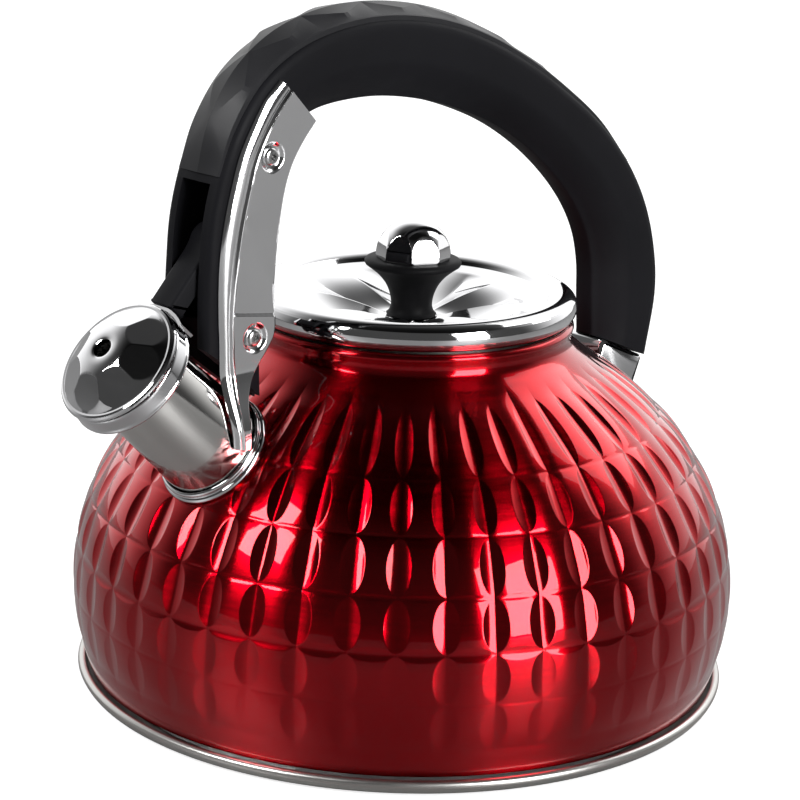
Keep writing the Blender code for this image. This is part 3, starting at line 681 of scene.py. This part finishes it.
def build_crown():
    """Inlay over the arch: a chain of diamonds along its crest, with facets falling away to both edges."""
    stations = np.array(HANDLE_STATIONS[CROWN_FIRST:CROWN_FIRST + len(CROWN_PROUD)])
    fine = smooth_line(np.column_stack([stations, CROWN_PROUD]), 12)
    along = np.concatenate([[0], np.cumsum(np.hypot(*np.diff(fine[:, :2], axis=0).T))])
    joints = np.array(CROWN_JOINTS)
    inside = joints[(joints > 0) & (joints < along[-1])]
    places = np.unique(np.concatenate([np.linspace(0, along[-1], 150), inside]))
    rows = []
    for place in places:
        values = [float(np.interp(place, along, column)) for column in fine.T]
        out_x, out_z, in_x, in_z, _, proud = values
        out = Vector((out_x - in_x, out_z - in_z)).normalized()
        k = int(np.searchsorted(joints, place, "right")) - 1
        share = (place - joints[k]) / (joints[k + 1] - joints[k])
        half = max(DIAMOND_HALF * (1 - abs(2 * share - 1)) ** 0.8, 0.12)
        crest, edge = proud, 0.1 + 0.3 * proud
        brow = crest - ROOF_SLOPE * half * min(proud / 3.0, 1.0)
        lip = CROWN_HALF - 0.35
        near = [(CROWN_HALF, -0.7), (CROWN_HALF, edge - 0.35), (lip, edge)]
        near += [(lip + (half - lip) * t, edge + (brow - edge) * t) for t in (0.25, 0.5, 0.75, 1.0)]
        near.append((half * 0.5, (crest + brow) / 2))
        profile = [(-y, h) for y, h in near] + [(0.0, crest)] + near[::-1]
        rows.append([(out_x + out.x * h, y, out_z + out.y * h) for y, h in profile])
    crown = new_object("handle_inlay", grid_mesh(rows, caps=True), CROWN_GRIP, 5.0)
    piece(crown, BODY, ["handle_crown"])


def cheek_height(t, ridge, x, z):
    """Outer surface of a side plate, in mm above its inner face, at share t of the way to the rear."""
    crest = CHEEK_T - 0.1
    if t < ridge:
        share = t / ridge
        roll = 0.3 + (crest - 0.9) * math.sin(min(share / 0.62, 1.0) * math.pi / 2) ** 0.8
        height = roll - 0.22 * float(ease((share - 0.62) / 0.18)) + 0.92 * float(ease((share - 0.8) / 0.2))
    else:
        height = crest - 0.12 * float(ease((t - ridge) / 0.03)) - 0.5 * float(ease((t - 0.95) / 0.05)) ** 2
    if t > ridge + 0.02:
        height -= leaf_depth(x, z)
    for sx, sz in CHEEK_SCREWS.values():
        height -= SEAT_DEPTH * float(ease((SEAT_REACH - math.hypot(x - sx, z - sz)) / SEAT_EDGE))
    return height


def leaf_depth(x, z):
    """The two shallow facets between the screws: one falls to a slanting crease, the other rises from it."""
    brow = LEAF_BROW[1] + 4.6 * float(ease((x - LEAF_BROW[0]) / 9.0))
    crease = LEAF_TOP[1] + (x - LEAF_TOP[0]) * (LEAF_REAR[1] - LEAF_TOP[1]) / (LEAF_REAR[0] - LEAF_TOP[0])
    foot = LEAF_FOOT - 0.15 * (x + 87.6)
    if z > brow:
        return 0.0
    if z > crease:
        return LEAF_DEPTH * (brow - z) / max(brow - crease, 1.0)
    rise = 0.3 + 0.65 * max(z - foot, 0.0) / max(crease - foot, 1.0)
    return rise * float(ease((z - foot + 0.9) / 0.9))


def splay(y, z):
    t = min(max((SPLAY_TOP - z) / (SPLAY_TOP - SPLAY_FOOT), 0.0), 1.0)
    return y + (CHEEK_SPLAY - CHEEK_IN) * t * t * (3 - 2 * t)


def build_cheek(label, side):
    stations = smooth_line(CHEEK_STATIONS, 18)
    rows = []
    for fx, fz, rx, rz, ridge in stations:
        front = [ridge * k / 16 for k in range(16)]
        rear = [ridge + (1 - ridge) * (k / 46) for k in range(47)]
        outer, inner = [], []
        for t in front + rear:
            x, z = fx + (rx - fx) * t, fz + (rz - fz) * t
            outer.append((x, side * splay(CHEEK_IN + cheek_height(t, ridge, x, z), z), z))
            inner.append((x, side * splay(CHEEK_IN, z), z))
        rows.append(outer + inner[::-1])
    cheek = new_object("cheek_plate_" + label, grid_mesh(rows, caps=True), CHEEK_METAL, 28.0)
    piece(cheek, BODY, ["cheek_" + label])
    for end, (x, z) in CHEEK_SCREWS.items():
        build_screw(label + "_" + end, x, side * (CHEEK_IN + CHEEK_T - 1.45), z, side)


def build_screw(label, x, y, z, side):
    """A button-head screw with a six-point socket."""
    outline = [
        (0.0, -4.0), (1.3, -4.0), (1.3, 0.0), (3.0, 0.0), (3.0, 0.5), (2.6, 1.15), (1.9, 1.5), (0.0, 1.6),
    ]
    corners = [0, 0, 0, 0.1, 0.4, 0.5, 0.3, 0]
    turn = Matrix.Rotation(-side * math.radians(90.0), 4, "X")
    place = Matrix.Translation((x, y, z)) @ turn
    screw = lathe("cheek_bolt_" + label, rounded(outline, corners, 3), BOLT_STEEL, 48, place)
    points = []
    for k in range(24):
        a = math.tau * k / 24
        r = 1.15 + 0.28 * math.cos(6 * a)
        points.append((r * math.cos(a), r * math.sin(a)))
    rows = [[(px, py, h) for px, py in points] for h in (0.5, 2.2)]
    bm = grid_mesh(rows, caps=True)
    bmesh.ops.transform(bm, matrix=place, verts=bm.verts)
    boolean(screw, new_object("cutter", bm, None))
    screw.data.shade_smooth()
    screw.data.set_sharp_from_angle(angle=math.radians(35))
    piece(screw, BODY, ["cheek_screw_" + label])


def build_front_tab():
    """The upright of the bracket that the front leg stands against."""
    outline = [(-71.9, 119.0), (-70.5, 119.0), (-70.5, 109.8), (-70.7, 107.9), (-71.9, 108.8)]
    rows = [[(x, y, z) for x, z in outline] for y in (-3.6, 3.6)]
    tab = new_object("front_tab", grid_mesh(rows, caps=True), STEM_BLACK, 30.0)
    piece(tab, BODY, ["front_bracket"])


def build_ferrule():
    """Chrome foot of the rear leg, with a proud middle and chamfered sides."""
    outline = [(86.4, 101.9), (108.2, 92.6), (104.2, 84.6), (99.4, 73.2), (92.3, 84.0), (83.7, 93.2)]
    soft = rounded(outline, [1.0, 1.2, 2.0, 2.0, 2.0, 2.0], 4)
    layers = [(-9.2, 1.6), (-8.7, 0.7), (-7.6, 0.0), (7.6, 0.0), (8.7, 0.7), (9.2, 1.6)]
    rows = [[(x, y, z) for x, z in inset_outline(soft, inset)] for y, inset in layers]
    obj = new_object("rear_foot", grid_mesh(rows, caps=True), CHROME, 32.0)
    piece(obj, BODY, ["rear_ferrule"])


# ---------------------------------------------------------------- lid

def build_lid():
    steps = 320
    angles = np.linspace(0.0, math.tau, steps, endpoint=False)
    facets, phase = LID_FLUTES, math.radians(LID_PHASE)

    def dish(r, a):
        flat = 122.3 + 7.6 * ((r - 8.0) / 36.0) ** 1.15 if r > 8.0 else 122.3
        wave = (a - phase) % (math.tau / facets) / (math.tau / facets)
        ridge = 1 - abs(2 * wave - 1)
        amount = 3.3 * math.sin(math.pi * min(max((r - 8.5) / 30.0, 0.0), 1.0)) ** 0.8
        return flat + amount * (ridge - 0.5)

    rows = []
    for r in [2.3, 5.0] + [8.0 + 36.0 * k / 48 for k in range(49)]:
        rows.append([(r * math.cos(a), r * math.sin(a), dish(r, a)) for a in angles])
    rim = smooth_line([(44.6, 130.5), (45.4, 131.2), (47.2, 131.9), (49.4, 132.2), (51.6, 131.6),
                       (53.3, 130.1), (54.0, 127.9), (53.6, 125.8), (52.5, 124.2), (51.3, 123.5)], 3)
    under = [(50.9, 123.9), (52.6, 125.9), (53.1, 127.9), (52.4, 129.8), (49.6, 131.3), (46.4, 130.6)]
    for r, z in list(rim) + under:
        rows.append([(r * math.cos(a), r * math.sin(a), z) for a in angles])
    for r in (44.0, 38.0, 30.0, 22.0, 14.0, 8.0, 2.3):
        rows.append([(r * math.cos(a), r * math.sin(a), dish(r, a) - 0.8) for a in angles])
    lid = new_object("lid_plate", grid_mesh(rows, wrap_rows=True), CHROME, 10.0)
    piece(lid, LID, ["lid_cover"])
    skirt = [(45.4, 128.2), (48.4, 128.2), (48.4, 119.0), (47.3, 118.8), (47.3, 116.6), (48.4, 116.4),
             (48.4, 113.4), (47.6, 113.0), (46.4, 113.2), (46.4, 127.4), (45.4, 127.4)]
    obj = lathe("lid_wall", rounded(skirt, 0.4, 3), SHEET_STEEL, 160)
    piece(obj, LID, ["lid_skirt"])
    build_knob()


def build_knob():
    outer = smooth_line([(8.2, 123.0), (7.4, 123.8), (6.8, 125.4), (6.8, 127.4), (7.4, 130.0), (8.7, 132.9),
                         (10.8, 135.6), (13.2, 137.7), (15.4, 139.3)], 4)
    outline = [(2.3, 122.6), (8.0, 122.6)] + [tuple(p) for p in outer]
    outline += [(15.7, 139.8), (15.75, 140.4), (15.3, 141.0), (14.2, 141.4), (2.3, 141.4)]
    stem = lathe("knob_neck", outline, STEM_BLACK, 128, angle=50.0)
    piece(stem, LID, ["knob_stem"])
    profile = smooth_line([(12.0, 141.7), (12.4, 142.6), (12.2, 144.2), (11.6, 146.2), (10.7, 148.1),
                           (9.4, 150.0), (7.6, 151.7), (5.2, 153.0), (2.8, 153.7), (1.0, 153.8)], 6)

    def flats(r, h, a):
        if h < 141.6 or r < 0.01:
            return r, h
        apothem = KNOB_APOTHEM * math.sqrt(1 - ((h - KNOB_FOOT) / KNOB_BOW) ** 2)
        return min(r, apothem / math.cos(facet_offset(a, KNOB_PHASE))), h

    outline = [(0.0, 140.0), (11.9, 141.6)] + [tuple(p) for p in profile] + [(0.0, 153.8)]
    cap = lathe("knob_button", outline, CHROME, 256, shape=flats, angle=12.0)
    piece(cap, LID, ["knob_cap"])


# ---------------------------------------------------------------- CAD pieces that stay

def finish_cad_nodes():
    finishes = {
        SHEET_STEEL: ["base_pan", "whistle_plate_back", "whistle_plate_front", "rear_bracket", "lid_washer"],
        CAST_ALUMINIUM: ["base_heat_disc"],
        CHROME: ["cap_saddle"],
        BOLT_STEEL: ["front_screw", "rear_screw", "pivot_pin", "return_spring", "cap_rivet", "knob_screw"],
        SEAL: ["cap_seal", "lid_seal"],
    }
    for material, names in finishes.items():
        for name in names:
            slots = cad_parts[name].data.materials
            slots.clear()
            slots.append(material)


# ---------------------------------------------------------------- studio

def for_camera(tree, others, camera):
    """Mixes two shaders or colours so that the camera sees the second straight on."""
    path = tree.nodes.new("ShaderNodeLightPath")
    mix = tree.nodes.new("ShaderNodeMixShader")
    tree.links.new(path.outputs["Is Camera Ray"], mix.inputs["Fac"])
    tree.links.new(others, mix.inputs[1])
    tree.links.new(camera, mix.inputs[2])
    return mix.outputs["Shader"]


def paper():
    """Pale paper that shows white to the camera and throws only a little light back on the kettle."""
    n = Nodes("floor_paper")
    tree = n.tree
    cloud = n.colours(n.noise(3.0), (0.52, 0.52, 0.52), (0.56, 0.56, 0.56))
    dim = tree.nodes.new("ShaderNodeBsdfDiffuse")
    dim.inputs["Color"].default_value = (0.2, 0.2, 0.2, 1.0)
    pale = tree.nodes.new("ShaderNodeBsdfDiffuse")
    n.link(cloud, pale.inputs["Color"])
    glow = tree.nodes.new("ShaderNodeEmission")
    glow.inputs["Color"].default_value = (0.74, 0.74, 0.74, 1.0)
    both = tree.nodes.new("ShaderNodeAddShader")
    n.link(pale.outputs["BSDF"], both.inputs[0])
    n.link(glow.outputs["Emission"], both.inputs[1])
    sheen = tree.nodes.new("ShaderNodeBsdfAnisotropic")
    sheen.inputs["Color"].default_value = (0.14, 0.14, 0.14, 1.0)
    sheen.inputs["Roughness"].default_value = 0.45
    seen = tree.nodes.new("ShaderNodeAddShader")
    n.link(dim.outputs["BSDF"], seen.inputs[0])
    n.link(sheen.outputs["BSDF"], seen.inputs[1])
    surface = for_camera(tree, seen.outputs["Shader"], both.outputs["Shader"])
    n.link(surface, tree.nodes["Material Output"].inputs["Surface"])
    return n.material


def softbox(name, azimuth, elevation, width, height, radiance):
    """A light facing the kettle, its size in degrees. azimuth turns right from the camera's side."""
    distance = LIGHT_DISTANCE
    wide, high = (2 * distance * math.tan(math.radians(v) / 2) for v in (width, height))
    light = bpy.data.lights.new(name, "AREA")
    light.shape = "RECTANGLE"
    light.size, light.size_y = wide, high
    light.energy = radiance * math.pi * wide * high
    a, e = math.radians(CAMERA_SIDE + azimuth), math.radians(elevation)
    out = Vector((math.cos(a) * math.cos(e), math.sin(a) * math.cos(e), math.sin(e)))
    obj = bpy.data.objects.new(name, light)
    obj.location = out * distance + Vector((0.0, 0.0, LIGHT_AIM))
    obj.rotation_mode = "QUATERNION"
    obj.rotation_quaternion = out.to_track_quat("Z", "Y")
    bpy.context.scene.collection.objects.link(obj)


def build_world():
    """A dark room on the camera's side and above, and pale walls behind the kettle."""
    world = bpy.data.worlds.new("studio")
    bpy.context.scene.world = world
    world.use_nodes = True
    tree = world.node_tree
    direction = tree.nodes.new("ShaderNodeTexCoord")

    def lobe(axis, start, end, low, high):
        dot = tree.nodes.new("ShaderNodeVectorMath")
        dot.operation = "DOT_PRODUCT"
        dot.inputs[1].default_value = axis
        tree.links.new(direction.outputs["Generated"], dot.inputs[0])
        ramp = tree.nodes.new("ShaderNodeMapRange")
        ramp.interpolation_type = "SMOOTHSTEP"
        for name, value in zip(("From Min", "From Max", "To Min", "To Max"), (start, end, low, high)):
            ramp.inputs[name].default_value = value
        tree.links.new(dot.outputs["Value"], ramp.inputs["Value"])
        return ramp.outputs["Result"]

    def combine(kind, one, two):
        node = tree.nodes.new("ShaderNodeMath")
        node.operation = kind
        tree.links.new(one, node.inputs[0])
        tree.links.new(two, node.inputs[1])
        return node.outputs["Value"]

    back = lobe((0.707, 0.707, 0.0), -0.15, 0.8, 0.07, 1.5)
    roof = lobe((0.0, 0.0, 1.0), 0.55, 0.9, 1.0, 0.08)
    level = combine("MULTIPLY", back, roof)
    room = tree.nodes["Background"]
    tree.links.new(level, room.inputs["Strength"])
    room.inputs["Color"].default_value = (1.0, 1.0, 1.0, 1.0)
    white = tree.nodes.new("ShaderNodeBackground")
    white.inputs["Color"].default_value = (1.0, 1.0, 1.0, 1.0)
    surface = for_camera(tree, room.outputs["Background"], white.outputs["Background"])
    tree.links.new(surface, tree.nodes["World Output"].inputs["Surface"])


def build_studio():
    bm = bmesh.new()
    bmesh.ops.create_grid(bm, x_segments=1, y_segments=1, size=6000.0)
    floor = new_object("floor", bm, paper())
    softbox("light_left", -57.0, 37.0, 18.0, 20.0, 19.0)
    softbox("light_right", 43.0, 17.0, 22.0, 34.0, 15.0)
    softbox("light_back", 128.0, 42.0, 34.0, 30.0, 2.4)
    build_world()


def build_camera():
    """The view from the spout's near side and a little above."""
    yaw, pitch, roll = (math.radians(v) for v in (PAN, PITCH, ROLL))
    ahead = Vector((math.sin(yaw) * math.cos(pitch), math.cos(yaw) * math.cos(pitch), -math.sin(pitch)))
    right = Vector((math.cos(yaw), -math.sin(yaw), 0.0))
    up = right.cross(ahead)
    right, up = right * math.cos(roll) + up * math.sin(roll), up * math.cos(roll) - right * math.sin(roll)
    turn = Matrix.Rotation(-math.radians(TURN), 3, "Z")
    right, up, ahead = (turn @ v for v in (right, up, ahead))
    camera = bpy.data.objects.new("camera", bpy.data.cameras.new("camera"))
    camera.data.lens = LENS
    camera.data.sensor_width = 36.0
    axes = Matrix((right, up, -ahead)).transposed().to_4x4()
    camera.matrix_world = Matrix.Translation(EYE * MM) @ axes
    camera.data.clip_start, camera.data.clip_end = 0.05, 20.0
    bpy.context.scene.collection.objects.link(camera)
    bpy.context.scene.camera = camera
    bpy.context.scene.view_settings.view_transform = "Standard"


build_camera()
build_studio()
build_body()
build_base()
build_spout()
build_cap()
build_lever()
build_handle()
for cheek_label, cheek_side in (("near", -1), ("far", 1)):
    build_cheek(cheek_label, cheek_side)
build_front_tab()
build_ferrule()
build_lid()
finish_cad_nodes()
